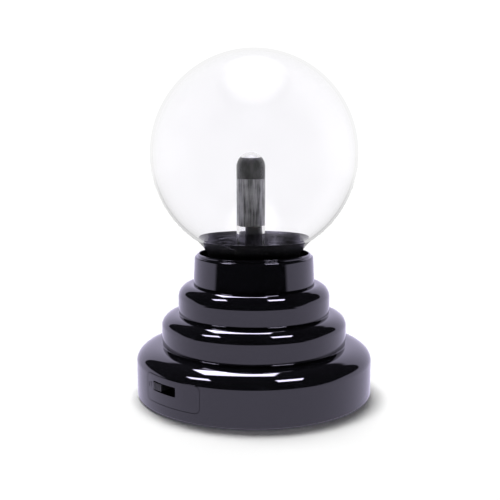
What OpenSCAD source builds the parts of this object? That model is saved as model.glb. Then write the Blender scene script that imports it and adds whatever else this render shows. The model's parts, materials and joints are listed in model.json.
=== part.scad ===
// Plasma ball: a stepped black base that takes batteries or an adaptor, and a
// sealed glass globe with a central electrode.
// Origin at the centre of the underside of the feet, +Z up, front at -Y, mm.

/* [Base] */
// height of the rubber feet below the base
foot_drop = 0.6; // [0.3:0.1:2]
// outer radius of the bottom tier
base_r = 52.8; // [40:0.1:70]
// outer radius of the middle tier
mid_r = 41.5; // [30:0.1:60]
// outer radius of the upper tier
top_r = 34; // [28:0.1:50]
// top of the bottom tier
base_top = 22.7; // [18:0.1:35]
// top of the middle tier
mid_top = 36.45; // [28:0.05:50]
// top of the upper tier
top_top = 49.5; // [40:0.1:65]
// wall thickness of the mouldings
wall = 2.2; // [1.5:0.1:3]

/* [Collar] */
// outer radius of the collar at its foot
collar_r0 = 27.2; // [25:0.1:33]
// outer radius of the collar below its lip
collar_r1 = 26.6; // [25:0.1:33]
// height of the collar's outer edge
collar_edge = 61; // [55:0.1:75]
// height of the top of the lip
lip_top = 63.1; // [56:0.1:78]
// inner radius of the lip
lip_r = 24.9; // [23:0.1:30]

/* [Globe] */
// outer radius of the glass globe
globe_r = 45.7; // [35:0.1:60]
// height of the globe's centre
globe_z = 106.7; // [90:0.1:130]
// glass thickness
glass = 1.3; // [0.8:0.1:2.5]
// outer radius of the straight part of the neck
neck_r = 20; // [15:0.1:24]
// underside of the neck
neck_z = 50; // [45:0.1:58]
// height where the neck starts to flare
flare_z = 58; // [54:0.1:64]
// radius where the flare meets the globe
join_r = 25.7; // [22:0.1:32]
// radial thickness of the black neck liner
liner = 0.7; // [0.4:0.1:1.5]

/* [Electrode] */
// sideways offset of the electrode tube
tube_x = -1.4; // [-3:0.1:3]
// outer radius of the electrode tube
tube_r = 6.4; // [4:0.1:9]
// wall of the electrode tube
tube_wall = 1.1; // [0.6:0.1:2]
// top of the electrode tube
tube_top = 107.8; // [95:0.1:125]
// bottom of the conductive wool
wool_z0 = 75; // [65:0.1:85]
// top of the conductive wool
wool_z1 = 96; // [86:0.1:110]
// top of the dark band above the wool
band_top = 105; // [99:0.1:115]
// radius of the stem under the wool
stem_r = 3.8; // [2:0.1:4.8]

/* [Switch] */
// direction of the switch, anticlockwise from +X
switch_angle = 225.5; // [0:0.5:360]
// height of the switch's centre line
switch_z = 11.9; // [8:0.1:15]
// length of the switch slot
slot_l = 13.9; // [8:0.1:20]
// height of the switch slot
slot_h = 3.9; // [2.5:0.1:6]
// width of the switch knob
knob_w = 5; // [3:0.1:8]
// height of the switch knob
knob_h = 3.1; // [2:0.1:5]
// travel of the switch knob
knob_travel = 8; // [3:0.1:10]
// left edge of the switch plate, from the slot's centre
plate_y0 = -12; // [-16:0.1:-9]
// right edge of the switch plate, from the slot's centre
plate_y1 = 18.5; // [9:0.1:20]
// lower edge of the switch plate
plate_z0 = 5; // [3:0.1:8]
// upper edge of the switch plate
plate_z1 = 16.6; // [14:0.1:18]

/* [Power] */
// direction of the power inlet, anticlockwise from +X
jack_angle = 90; // [0:1:360]
// height of the power inlet
jack_z = 10.5; // [7:0.1:14]
// radius of the inlet's bore
jack_bore_r = 1.85; // [1.2:0.05:3.2]
// radius of the inlet's pin
jack_pin_r = 0.65; // [0.4:0.05:1.3]
// radius of one cell
cell_r = 5.2; // [5:0.05:7.2]
// length of one cell with its button
cell_l = 44.5; // [40:0.1:52]
// pitch of the cells
cell_pitch = 10.8; // [10.5:0.1:15]
// height of the cells' axes
cell_z = 8.5; // [8:0.1:10]
// opening angle the battery door is drawn at
door_open = 0; // [0:1:95]

/* [Board] */
// underside of the circuit board
board_z = 17.4; // [16:0.1:19]
// board thickness
board_t = 1.6; // [0.8:0.1:2]
// board length across X
board_x = 70; // [50:1:72]
// board width across Y
board_y = 46; // [30:1:50]

/* [Hidden] */
$fn = 96;

eps = 0.01;
gap = 0.4;              // clearance round the moving pieces
plate_gap = 0.15;       // groove round the switch plate

base_a = 11.3;  base_b = 7;     // shoulder of the bottom tier
mid_a = 7.5;    mid_b = 5.5;    // shoulder of the middle tier
top_a = 5.8;    top_b = 6;      // shoulder of the upper tier
steps = 14;                     // steps along one shoulder
base_in = base_r - wall;
mid_in = mid_r - wall;
top_in = top_r - wall;
collar_hole = 25;       // hole in the upper tier for the collar's spigot
spigot_r = 24.85;
spigot_in = 22.6;
spigot_z = 45.5;

cover_r = base_in - 0.25;
cover_top = foot_drop + wall;
boss_ring = 45;
boss_r = 3.4;
boss_angles = [15, 105, 195, 285];
boss_z = 5.1;
pilot_r = 1.2;
foot_ring = 44;
foot_r = 4;
foot_t = 1.6;
foot_angles = [60, 150, 240, 330];

well_x = 25.2;          // half length of the battery well
well_y = 21.8;          // half width of the battery well
well_wall = 1.4;
well_top = 14.2;
hinge_x = 26.2;         // axis of the battery door
hinge_z = 1.9;
barrel_r = 1.3;
hinge_pin_r = 0.7;
door_top = 2.6;
opening_x0 = -25.6;
opening_x1 = 27.9;
opening_y = 22;

post_x = 32;
post_y = 18;
board_top = board_z + board_t;
knob_rest = -knob_travel/2;

tr_x = 2;               // transformer
tr_y = 4;
tr_z = board_top + 0.4;
tr_w = 26;
tr_d = 10;
tr_h = 22;
sink_x = -25.2;         // heat sink
sink_y0 = -10;
sink_y1 = 12;

clamp_ring = 27;
clamp_angles = [90, 210, 330];

// ---- helpers ----
function shoulder(cx, cz, a, b) =
  [for (i = [0:steps]) [cx + a*cos(90*i/steps), cz + b*sin(90*i/steps)]];
function flare(t) = neck_r + (join_r - neck_r)*pow(t, 2.2);
join_z = globe_z - sqrt(globe_r*globe_r - join_r*join_r);
function neck_side(off) =
  [for (i = [0:10]) [flare(i/10) - off, flare_z + (join_z - flare_z)*i/10]];

module rounded(w, h, r) {
  union() {
    square([w - 2*r, h], center = true);
    square([w, h - 2*r], center = true);
    for (sx = [-1, 1]) for (sy = [-1, 1])
      translate([sx*(w/2 - r), sy*(h/2 - r)]) circle(r = r);
  }
}
module block(x0, x1, y0, y1, z0, z1) {
  translate([x0, y0, z0]) cube([x1 - x0, y1 - y0, z1 - z0]);
}
module tube(r1, r0, h) {
  difference() { cylinder(r = r1, h = h); translate([0, 0, -1]) cylinder(r = r0, h = h + 2); }
}
module along_x(x0, x1, r) { translate([x0, 0, 0]) rotate([0, 90, 0]) cylinder(r = r, h = x1 - x0); }
module along_y(y0, y1, r) { translate([0, y0, 0]) rotate([-90, 0, 0]) cylinder(r = r, h = y1 - y0); }
// a round wire through a list of points; each run reaches a little past its bends
module wire(p, r) {
  n = len(p) - 2;
  for (i = [0:n]) {
    v = p[i+1] - p[i];
    l = norm(v);
    e0 = i > 0 ? 0.55*r : 0;
    e1 = i < n ? 0.55*r : 0;
    translate(p[i]) rotate([0, acos(v[2]/l), atan2(v[1], v[0])])
      translate([0, 0, -e0]) cylinder(r = i % 2 == 0 ? r : 0.9*r, h = l + e0 + e1);
  }
}
module pan_screw(head_r, head_h, shank_r, shank_l) {
  difference() {
    union() {
      translate([0, 0, -head_h]) cylinder(r1 = head_r*0.72, r2 = head_r, h = head_h*0.55);
      translate([0, 0, -head_h*0.45 - eps]) cylinder(r = head_r, h = head_h*0.45 + eps);
      translate([0, 0, -eps]) cylinder(r = shank_r, h = shank_l - shank_r + eps);
      translate([0, 0, shank_l - shank_r]) cylinder(r1 = shank_r, r2 = shank_r*0.3, h = shank_r);
    }
    for (a = [0, 90]) rotate([0, 0, a])
      translate([-head_r*0.55, -head_r*0.13, -head_h - 1]) cube([head_r*1.1, head_r*0.26, 1 + head_h*0.6]);
  }
}
module at_switch() { rotate([0, 0, switch_angle]) children(); }
module at_jack() { rotate([0, 0, jack_angle]) children(); }
module plate_prism(grow, x0, x1) {
  w = plate_y1 - plate_y0 + 2*grow;
  h = plate_z1 - plate_z0 + 2*grow;
  translate([x0, (plate_y0 + plate_y1)/2, (plate_z0 + plate_z1)/2])
    rotate([90, 0, 90]) linear_extrude(x1 - x0) rounded(w, h, 2.4 + grow);
}
module base_outer() {
  rotate_extrude() polygon(concat([[0, foot_drop], [base_r, foot_drop]],
    shoulder(mid_r, base_top - base_b, base_a, base_b), [[0, base_top]]));
}

// ---- mouldings ----
module housing() color([0.03, 0.03, 0.035]) {
  difference() {
    union() {
      rotate_extrude() polygon(concat(
        [[base_in, foot_drop + 0.3], [base_in + 0.3, foot_drop], [base_r - 0.5, foot_drop], [base_r, foot_drop + 0.5]],
        shoulder(mid_r, base_top - base_b, base_a, base_b),
        shoulder(top_r, mid_top - mid_b, mid_a, mid_b),
        shoulder(top_r - top_a, top_top - top_b, top_a, top_b),
        [[collar_hole, top_top], [collar_hole, top_top - wall]],
        [for (i = [0:steps]) [top_r - top_a + (top_a - wall)*sin(90*i/steps), top_top - top_b + (top_b - wall)*cos(90*i/steps)]],
        [for (i = [0:steps]) [top_r + (mid_a - wall)*sin(90*i/steps), mid_top - mid_b + (mid_b - wall)*cos(90*i/steps)]],
        [for (i = [0:steps]) [mid_r + (base_a - wall)*sin(90*i/steps), base_top - base_b + (base_b - wall)*cos(90*i/steps)]]));
      for (a = boss_angles) rotate([0, 0, a]) {
        translate([boss_ring, 0, boss_z]) cylinder(r = boss_r, h = 20.8 - boss_z);
        block(boss_ring + boss_r - 1, base_in + 0.5, -0.6, 0.6, boss_z + 1, 16);
      }
      for (a = clamp_angles) rotate([0, 0, a]) translate([clamp_ring, 0, 45.45]) cylinder(r = 1.9, h = 2.5);
    }
    for (a = boss_angles) rotate([0, 0, a]) translate([boss_ring, 0, boss_z - 1]) cylinder(r = pilot_r, h = 13);
    for (a = clamp_angles) rotate([0, 0, a]) translate([clamp_ring, 0, 45]) cylinder(r = 0.8, h = 3.6);
    at_switch() plate_prism(plate_gap, 44, 60);
    at_jack() translate([0, 0, jack_z]) along_x(46, 60, 3.4);
  }
}
module globe_collar() color([0.03, 0.03, 0.035]) {
  rotate_extrude() polygon(concat(
    [[collar_r0, top_top + 0.05], [collar_r1, collar_edge]],
    [for (i = [1:8]) [lip_r + (collar_r1 - lip_r)*cos(90*i/8), collar_edge + (lip_top - collar_edge)*sin(90*i/8)]],
    [[lip_r - 0.3, lip_top - 0.4], [lip_r - 0.3, 53], [spigot_in, 53], [spigot_in, spigot_z],
     [spigot_r, spigot_z], [spigot_r, top_top + 0.05]]));
}
module cell_well() {
  difference() {
    block(-well_x - well_wall, well_x + well_wall, -well_y - well_wall, well_y + well_wall, cover_top - eps, well_top + well_wall);
    block(-well_x, well_x, -well_y, well_y, 0, well_top);
  }
}
module bottom_cover() color([0.05, 0.05, 0.055]) {
  difference() {
    union() {
      translate([0, 0, foot_drop]) cylinder(r = cover_r, h = wall);
      cell_well();
      for (a = boss_angles) rotate([0, 0, a]) translate([boss_ring, 0, foot_drop]) cylinder(r = 4.4, h = boss_z - 0.1 - foot_drop);
      for (sx = [-1, 1]) for (sy = [-1, 1]) translate([sx*post_x, sy*post_y, foot_drop]) cylinder(r = 2.6, h = board_z - foot_drop - 0.02);
      for (s = [-1, 1]) block(24.2, 29.2, s > 0 ? opening_y : -24.4, s > 0 ? 24.4 : -opening_y, foot_drop, 4.2);
      at_jack() {
        block(40, 49, -5.6, 5.6, cover_top - eps, jack_z - 4.5);
        for (s = [-1, 1]) block(41, 48, s > 0 ? 4.7 : -5.9, s > 0 ? 5.9 : -4.7, cover_top, jack_z - 1);
      }
      tube_rib();
    }
    block(opening_x0, opening_x1, -opening_y, opening_y, 0, door_top + 0.3);
    block(24.2, opening_x1, -opening_y, opening_y, 0, 3.7);
    translate([hinge_x, 0, hinge_z]) along_y(-23.7, 23.7, hinge_pin_r + 0.32);
    for (a = boss_angles) rotate([0, 0, a]) translate([boss_ring, 0, 0]) {
      cylinder(r = 3, h = 3);
      cylinder(r = 1.5, h = 10);
    }
    for (a = foot_angles) rotate([0, 0, a]) translate([foot_ring, 0, 0]) cylinder(r = foot_r + 0.1, h = foot_t + 0.02);
    for (sx = [-1, 1]) for (sy = [-1, 1]) translate([sx*post_x, sy*post_y, 8]) cylinder(r = 0.95, h = 12);
    for (i = [-3:3]) block(i*4.4 - 0.8, i*4.4 + 0.8, -38, -28, 0, 5);
  }
}
// low rib that keys the cover inside the base
module tube_rib() {
  difference() {
    translate([0, 0, cover_top - eps]) cylinder(r = cover_r - 0.6, h = 1.2);
    translate([0, 0, 0]) cylinder(r = cover_r - 2, h = 6);
    at_switch() block(40, 54, plate_y0 - 4, plate_y1 + 3, 0, 9);
    at_jack() block(40, 54, -7, 7, 0, 9);
  }
}
module battery_door() color([0.05, 0.05, 0.055])
  translate([hinge_x, 0, hinge_z]) rotate([0, -door_open, 0]) translate([-hinge_x, 0, -hinge_z]) {
    difference() {
      union() {
        block(opening_x0 + gap, hinge_x, -opening_y + gap, opening_y - gap, foot_drop + 0.02, door_top);
        translate([hinge_x, 0, hinge_z]) along_y(-opening_y + gap, opening_y - gap, barrel_r - 0.02);
        translate([hinge_x, 0, hinge_z]) along_y(-23.3, 23.3, hinge_pin_r);
        block(-24.9, -23.9, -5, 5, door_top - eps, 4.1);
        for (s = [-1, 0, 1]) block(-18, 18, s*cell_pitch - 0.5, s*cell_pitch + 0.5, door_top - eps, 3.1);
      }
      // finger recess and grip lines
      translate([-18.5, 0, -1]) cylinder(r = 4.5, h = 2.4);
      for (i = [0:4]) block(-12 + i*2, -11.3 + i*2, -6, 6, 0, 1);
    }
  }
module rubber_feet() color([0.06, 0.06, 0.06])
  for (a = foot_angles) rotate([0, 0, a]) translate([foot_ring, 0, 0]) {
    cylinder(r1 = foot_r - 0.3, r2 = foot_r, h = 0.3);
    translate([0, 0, 0.3 - eps]) cylinder(r = foot_r, h = foot_t - 0.3);
  }
module case_screws() color([0.6, 0.6, 0.62])
  for (a = boss_angles) rotate([0, 0, a]) translate([boss_ring, 0, 2.98]) pan_screw(2.8, 1.7, 1.1, 11);

// ---- switch ----
module switch_plate() color([0.03, 0.03, 0.035]) at_switch() {
  difference() {
    union() {
      difference() {
        intersection() { base_outer_at(); plate_prism(0, 40, 60); }
        translate([0, 0, -1]) cylinder(r = base_in - 0.4, h = 40);
      }
      intersection() {
        difference() {
          translate([0, 0, plate_z0 - 1]) cylinder(r = base_in - 0.2, h = 10.6);
          translate([0, 0, 0]) cylinder(r = base_in - 1.6, h = 40);
        }
        plate_prism(1, 36, 60);
      }
      for (s = [-1, 1]) translate([0, s*11.4, switch_z]) along_x(46.55, 48.6, 2);
      // raised O and I marks
      intersection() {
        translate([0, 0, switch_z]) rotate([0, 0, atan2(-9.5, base_r)]) rotate([0, 90, 0])
          translate([0, 0, base_r - 1]) tube(1.35, 0.85, 1.12);
        translate([0, 0, 0]) cylinder(r = base_r + 0.1, h = 20);
      }
      intersection() {
        rotate([0, 0, atan2(11, base_r)]) block(base_r - 1, base_r + 1, -0.3, 0.3, switch_z - 1.35, switch_z + 1.35);
        cylinder(r = base_r + 0.1, h = 20);
      }
    }
    block(40, 60, -slot_l/2, slot_l/2, switch_z - slot_h/2, switch_z + slot_h/2);
    for (s = [-1, 1]) translate([0, s*11.4, switch_z]) along_x(45, 49.5, 0.8);
  }
}
module base_outer_at() { base_outer(); }
module switch_body() color([0.45, 0.45, 0.47]) at_switch() translate([0, 0, switch_z]) {
  difference() {
    union() {
      block(45.5, 46.5, -14, 14, -3.3, 3.3);
      block(39.5, 45.5 + eps, -8.5, 8.5, -3.3, 3.3);
      for (y = [-5, 0, 5]) block(36, 39.5 + eps, y - 0.8, y + 0.8, -0.25, 0.25);
    }
    block(41, 50, -knob_travel/2 - 1.8 - gap, knob_travel/2 + 1.8 + gap, -1.7, 1.7);
    for (s = [-1, 1]) translate([0, s*11.4, 0]) along_x(40, 50, 1.1);
  }
}
module switch_knob() color([0.04, 0.04, 0.04]) at_switch() translate([0, knob_rest, switch_z]) {
  difference() {
    block(47.4, base_r - 0.05, -knob_w/2, knob_w/2, -knob_h/2, knob_h/2);
    for (i = [-1:1]) block(base_r - 0.45, base_r + 1, i*1.3 - 0.25, i*1.3 + 0.25, -3, 3);
  }
  block(41.5, 47.4 + eps, -1.8, 1.8, -1.3, 1.3);
}
module switch_screws() color([0.7, 0.7, 0.72]) at_switch()
  for (s = [-1, 1]) translate([45.45, s*11.4, switch_z]) rotate([0, 90, 0]) pan_screw(1.9, 1.2, 0.75, 3.6);

// ---- power ----
module power_inlet() color([0.05, 0.05, 0.05]) at_jack() translate([0, 0, jack_z]) {
  difference() {
    union() {
      block(41.5, 50, -4.5, 4.5, -4.45, 4.45);
      along_x(50 - eps, 52.3, 3.1);
      for (y = [-3, 0, 3]) block(39.6, 41.5 + eps, y - 0.6, y + 0.6, -0.2, 0.2);
    }
    along_x(43, 60, jack_bore_r);
  }
}
module inlet_pin() color([0.75, 0.75, 0.75]) at_jack() translate([0, 0, jack_z]) along_x(43.02, 51.2, jack_pin_r);
module cells_at() { for (i = [0:3]) translate([0, (i - 1.5)*cell_pitch, cell_z]) mirror([i % 2, 0, 0]) children(); }
module battery_cells() color([0.15, 0.3, 0.2]) cells_at() {
  along_x(-21.5, -21.5 + cell_l - 1.2, cell_r);
  along_x(-21.5 + cell_l - 1.2 - eps, -21.5 + cell_l, 1.9);
}
module battery_springs() color([0.7, 0.7, 0.72]) cells_at() {
  for (i = [0:3]) translate([-24.35 + i*0.8, 0, 0]) rotate([0, 90, 0]) rotate_extrude() translate([3.2, 0]) circle(r = 0.3, $fn = 24);
  translate([0, 0, 3.2]) along_x(-24.7, -21.95, 0.32);
}
module battery_contacts() color([0.75, 0.75, 0.75]) cells_at() {
  block(-25.15, -24.75, -4.4, 4.4, -4, 4.2);
  block(24.75, 25.15, -4.4, 4.4, -4, 4.2);
  along_x(23.1, 24.75 + eps, 2.4);
}

// ---- glass ----
module glass_globe() color([0.8, 0.85, 0.9, 0.3]) {
  difference() {
    union() {
      translate([0, 0, globe_z]) sphere(r = globe_r);
      rotate_extrude() polygon(concat([[0, neck_z], [neck_r, neck_z]], neck_side(0), [[0, join_z + 8]]));
    }
    translate([0, 0, globe_z]) sphere(r = globe_r - glass);
    rotate_extrude() polygon(concat([[0, neck_z + glass], [neck_r - glass, neck_z + glass]], neck_side(glass), [[0, join_z + 8]]));
    translate([tube_x, 0, neck_z - 1]) cylinder(r = tube_r + 0.08, h = 5);
  }
}
module neck_liner() color([0.02, 0.02, 0.02]) {
  o = glass + 0.08;
  rotate_extrude() polygon(concat(
    [[neck_r - o - liner, neck_z + glass + 0.1], [neck_r - o, neck_z + glass + 0.1]],
    neck_side(o),
    [for (i = [10:-1:0]) [flare(i/10) - o - liner, flare_z + (join_z - flare_z)*i/10 + 0.05]]));
}
module globe_seal() color([0.08, 0.08, 0.08])
  rotate_extrude() polygon([[neck_r + 0.1, neck_z + 0.4], [spigot_in - 0.1, neck_z + 0.4], [spigot_in - 0.1, 55.4], [neck_r + 0.7, 56], [neck_r + 0.1, 55.4]]);
module neck_clamp() color([0.1, 0.1, 0.1])
  difference() {
    translate([0, 0, 43.7]) cylinder(r = 29.6, h = 1.7);
    translate([0, 0, 40]) cylinder(r = 14, h = 10);
    for (a = clamp_angles) rotate([0, 0, a]) translate([clamp_ring, 0, 40]) cylinder(r = 1, h = 10);
  }
module clamp_screws() color([0.7, 0.7, 0.72])
  for (a = clamp_angles) rotate([0, 0, a]) translate([clamp_ring, 0, 43.68]) pan_screw(1.8, 1.3, 0.7, 4.6);
module neck_pad() color([0.2, 0.2, 0.2]) translate([0, 0, 45.45]) tube(19.6, 14.2, neck_z - 45.5);

// ---- electrode ----
module electrode_tube() color([0.8, 0.85, 0.9, 0.35]) translate([tube_x, 0, 0])
  difference() {
    union() {
      translate([0, 0, neck_z]) cylinder(r = tube_r, h = tube_top - tube_r - neck_z);
      translate([0, 0, tube_top - tube_r]) sphere(r = tube_r);
    }
    translate([0, 0, neck_z - 1]) cylinder(r = tube_r - tube_wall, h = tube_top - tube_r - neck_z + 1);
    translate([0, 0, tube_top - tube_r]) sphere(r = tube_r - tube_wall);
  }
module electrode_wool() color([0.35, 0.35, 0.36])
  translate([tube_x, 0, wool_z0]) cylinder(r = tube_r - tube_wall - 0.08, h = wool_z1 - wool_z0 - 0.02);
module electrode_band() color([0.15, 0.15, 0.16]) translate([tube_x, 0, 0])
  intersection() {
    union() {
      translate([0, 0, wool_z1]) cylinder(r = tube_r - tube_wall - 0.08, h = tube_top - tube_r - wool_z1);
      translate([0, 0, tube_top - tube_r]) sphere(r = tube_r - tube_wall - 0.08);
    }
    translate([0, 0, wool_z1]) cylinder(r = 12, h = band_top - wool_z1);
  }
module electrode_stem() color([0.05, 0.05, 0.05])
  translate([tube_x + 1.3, 0, neck_z + 0.1]) cylinder(r = stem_r, h = wool_z0 - neck_z - 0.15);
module electrode_boot() color([0.5, 0.1, 0.08])
  translate([tube_x, 0, 0]) {
    translate([0, 0, 46.6]) cylinder(r = 5.6, h = neck_z - 46.65);
    translate([0, 0, 44.2]) cylinder(r1 = 2.4, r2 = 4.4, h = 2.4 + eps);
  }
module high_voltage_lead() color([0.7, 0.12, 0.1])
  wire([[tr_x, tr_y - 10.3, 33.5], [tr_x, tr_y - 13, 37], [1, -7.5, 42.2], [tube_x, -0.6, 43]], 1.05);

// ---- board ----
module circuit_board() color([0.1, 0.35, 0.18])
  difference() {
    translate([0, 0, board_z]) linear_extrude(board_t) polygon([
      [-board_x/2 + 4, -board_y/2], [board_x/2 - 4, -board_y/2], [board_x/2, -board_y/2 + 4], [board_x/2, board_y/2 - 4],
      [board_x/2 - 4, board_y/2], [-board_x/2 + 4, board_y/2], [-board_x/2, board_y/2 - 4], [-board_x/2, -board_y/2 + 4]]);
    for (sx = [-1, 1]) for (sy = [-1, 1]) translate([sx*post_x, sy*post_y, 0]) cylinder(r = 1.3, h = 30);
  }
module board_screws() color([0.7, 0.7, 0.72])
  for (sx = [-1, 1]) for (sy = [-1, 1]) translate([sx*post_x, sy*post_y, board_top + 0.03]) rotate([180, 0, 0]) pan_screw(2.1, 1.4, 0.85, 8);
module transformer_core() color([0.12, 0.12, 0.13]) translate([tr_x, tr_y, tr_z])
  difference() {
    block(-tr_w/2, tr_w/2, -tr_d/2, tr_d/2, 0, tr_h);
    for (s = [-1, 1]) block(s > 0 ? 3.5 : -9.6, s > 0 ? 9.6 : -3.5, -tr_d, tr_d, 4, tr_h - 4);
  }
module transformer_bobbin() color([0.1, 0.1, 0.1]) translate([tr_x, tr_y, tr_z + 4.1])
  difference() {
    union() {
      block(-4.5, 4.5, -6, 6, 0, 13.8);
      for (z = [0, 6.6, 12.8]) block(-9.4, 9.4, -9.6, 9.6, z, z + 1);
    }
    block(-3.65, 3.65, -5.15, 5.15, -1, 20);
  }
module winding(z0, z1) translate([tr_x, tr_y, tr_z + 4.1])
  difference() {
    block(-9, 9, -9.2, 9.2, z0, z1);
    block(-4.6, 4.6, -6.1, 6.1, z0 - 1, z1 + 1);
  }
module primary_winding() color([0.75, 0.4, 0.15]) winding(1.05, 6.55);
module secondary_winding() color([0.85, 0.75, 0.3]) winding(7.65, 12.75);
module heat_sink() color([0.75, 0.76, 0.78])
  difference() {
    union() {
      block(sink_x, sink_x + 2, sink_y0, sink_y1, board_top + 0.1, 36);
      for (i = [0:5]) block(sink_x - 5.6, sink_x + eps, sink_y0 + i*4.16, sink_y0 + i*4.16 + 1.2, board_top + 0.1, 32);
    }
    translate([0, 1, 33.3]) along_x(sink_x - 1, sink_x + 3, 1.3);
  }
module power_transistor() color([0.12, 0.12, 0.12]) translate([sink_x + 2.05, 1, 0])
  difference() {
    union() {
      block(0, 4.4, -5, 5, 22, 30.8);
      block(0, 1.3, -5, 5, 30.8 - eps, 36);
      for (y = [-2.54, 0, 2.54]) block(2, 2.6, y - 0.4, y + 0.4, board_top + 0.02, 22 + eps);
    }
    translate([0, 0, 33.3]) along_x(-1, 3, 1.5);
  }
module heat_sink_screw() color([0.7, 0.7, 0.72])
  translate([sink_x + 3.4, 1, 33.3]) rotate([0, -90, 0]) pan_screw(2.5, 1.6, 1.2, 5.6);
module electrolytic_capacitors() color([0.1, 0.12, 0.3]) {
  translate([22.5, -13, board_top + 0.03]) cylinder(r = 5, h = 13);
  translate([27.5, 0, board_top + 0.03]) cylinder(r = 3.15, h = 11);
  translate([-4.5, 19.5, board_top + 0.03]) cylinder(r = 2.5, h = 9);
}
module film_capacitor() color([0.7, 0.15, 0.1]) block(17, 28, 10.5, 15.3, board_top + 0.3, board_top + 9);
module axial(l, r, lead) {
  along_x(-l/2, l/2, r);
  for (s = [-1, 1]) {
    translate([s*(l/2 + lead), 0, -r - 0.45]) cylinder(r = 0.3, h = r + 0.45, $fn = 24);
    along_x(s > 0 ? l/2 - 0.1 : -l/2 - lead, s > 0 ? l/2 + lead : -l/2 + 0.1, 0.28);
  }
}
module resistors() color([0.75, 0.62, 0.42])
  for (p = [[1, -9.5], [1, -13], [1, -16.5], [1, -20]]) translate([p[0], p[1], board_top + 1.7]) axial(6.4, 1.2, 1.4);
module diodes() color([0.1, 0.1, 0.1])
  for (x = [9.5, 13.5]) translate([x, -15, board_top + 1.8]) rotate([0, 0, 90]) axial(5.2, 1.3, 1.3);
module driver_chip() color([0.08, 0.08, 0.08]) translate([-13.5, 14.5, board_top]) {
  block(-4.8, 4.8, -3.2, 3.2, 0.6, 4);
  for (i = [-1.5:1.5]) for (s = [-1, 1]) block(i*2.54 - 0.3, i*2.54 + 0.3, s > 0 ? 3.15 : -3.8, s > 0 ? 3.8 : -3.15, 0.02, 2.4);
}
module choke_core() color([0.2, 0.2, 0.22]) translate([-15, -12, board_top + 0.7]) tube(4.2, 2.2, 3.6);
module choke_winding() color([0.75, 0.4, 0.15]) translate([-15, -12, board_top + 0.05])
  difference() {
    tube(4.85, 1.55, 4.9);
    translate([0, 0, 0.6]) tube(4.25, 2.15, 3.7);
    block(-0.8, 0.8, -9, 0, -1, 9);
  }
module connector_at(p) { translate([p[0], p[1], board_top + 0.03]) children(); }
sock_battery = [-20, -19];
sock_switch = [-8.5, -18];
sock_inlet = [6, 19.5];
module wire_connectors() color([0.9, 0.9, 0.86])
  for (p = [sock_battery, sock_switch, sock_inlet]) connector_at(p)
    difference() {
      block(-3, 3, -2.5, 2.5, 0, 6);
      for (x = [-1.25, 1.25]) block(x - 0.9, x + 0.9, -0.9, 0.9, 3.5, 7);
    }
function sock(p, s) = [p[0] + s*1.25, p[1], board_top + 4.6];
function up(p, dz) = [p[0], p[1], p[2] + dz];
lug = [35.4, -5, switch_z];
function turn(p, a) = [p[0]*cos(a) - p[1]*sin(a), p[0]*sin(a) + p[1]*cos(a), p[2]];
module red_wires() color([0.7, 0.05, 0.05]) {
  wire([[-27.4, -14, 10], [-30, -12.6, 11], [-36.2, -12.4, 14], [-36.3, -12.2, 21.5], [-29, -14, 28], sock(sock_battery, -1) + [0.1, 0.3, 5], sock(sock_battery, -1)], 0.6);
  wire([turn([35.3, 5, switch_z], switch_angle), turn([34.5, 7, 14.5], switch_angle), [-9, -26.2, 18.4], [-7.9, -23.4, 27.4], up(sock(sock_switch, 1), 5), sock(sock_switch, 1)], 0.6);
  wire([turn([38.9, -3, jack_z], jack_angle), [5.2, 35, 14], [7.4, 25.4, 17.5], [7.4, 24.8, 26], up(sock(sock_inlet, 1), 4.6), sock(sock_inlet, 1)], 0.6);
}
module black_wires() color([0.05, 0.05, 0.05]) {
  wire([[-27.4, 14, 10], [-30.2, 13.3, 11.4], [-35.9, 12.7, 14.3], [-36.1, 12.2, 21.6], [-34, 7, 32.4], [-31.3, -12.5, 30.3], sock(sock_battery, 1) + [0.1, -0.5, 6.2], sock(sock_battery, 1)], 0.6);
  wire([turn([35.3, 0, switch_z], switch_angle), turn([33.5, 2, 14.8], switch_angle), [-12, -24.9, 17], [-10.2, -24.7, 25.6], up(sock(sock_switch, -1), 4.4), sock(sock_switch, -1)], 0.6);
  wire([turn([38.9, -0, jack_z], jack_angle), [1.6, 36, 14], [4.3, 26, 17], [4.6, 24.9, 25.8], up(sock(sock_inlet, -1), 4.4), sock(sock_inlet, -1)], 0.6);
}

housing();
globe_collar();
bottom_cover();
battery_door();
rubber_feet();
case_screws();
switch_plate();
switch_body();
switch_knob();
switch_screws();
power_inlet();
inlet_pin();
glass_globe();
neck_liner();
globe_seal();
neck_clamp();
clamp_screws();
neck_pad();
electrode_tube();
electrode_wool();
electrode_band();
electrode_stem();
electrode_boot();
high_voltage_lead();
circuit_board();
board_screws();
transformer_core();
transformer_bobbin();
primary_winding();
secondary_winding();
heat_sink();
power_transistor();
heat_sink_screw();
electrolytic_capacitors();
film_capacitor();
resistors();
diodes();
driver_chip();
choke_core();
choke_winding();
wire_connectors();
battery_cells();
battery_springs();
battery_contacts();
red_wires();
black_wires();
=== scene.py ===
import json
import math
import random

import bmesh
import bpy
from mathutils import Matrix, Vector


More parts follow.
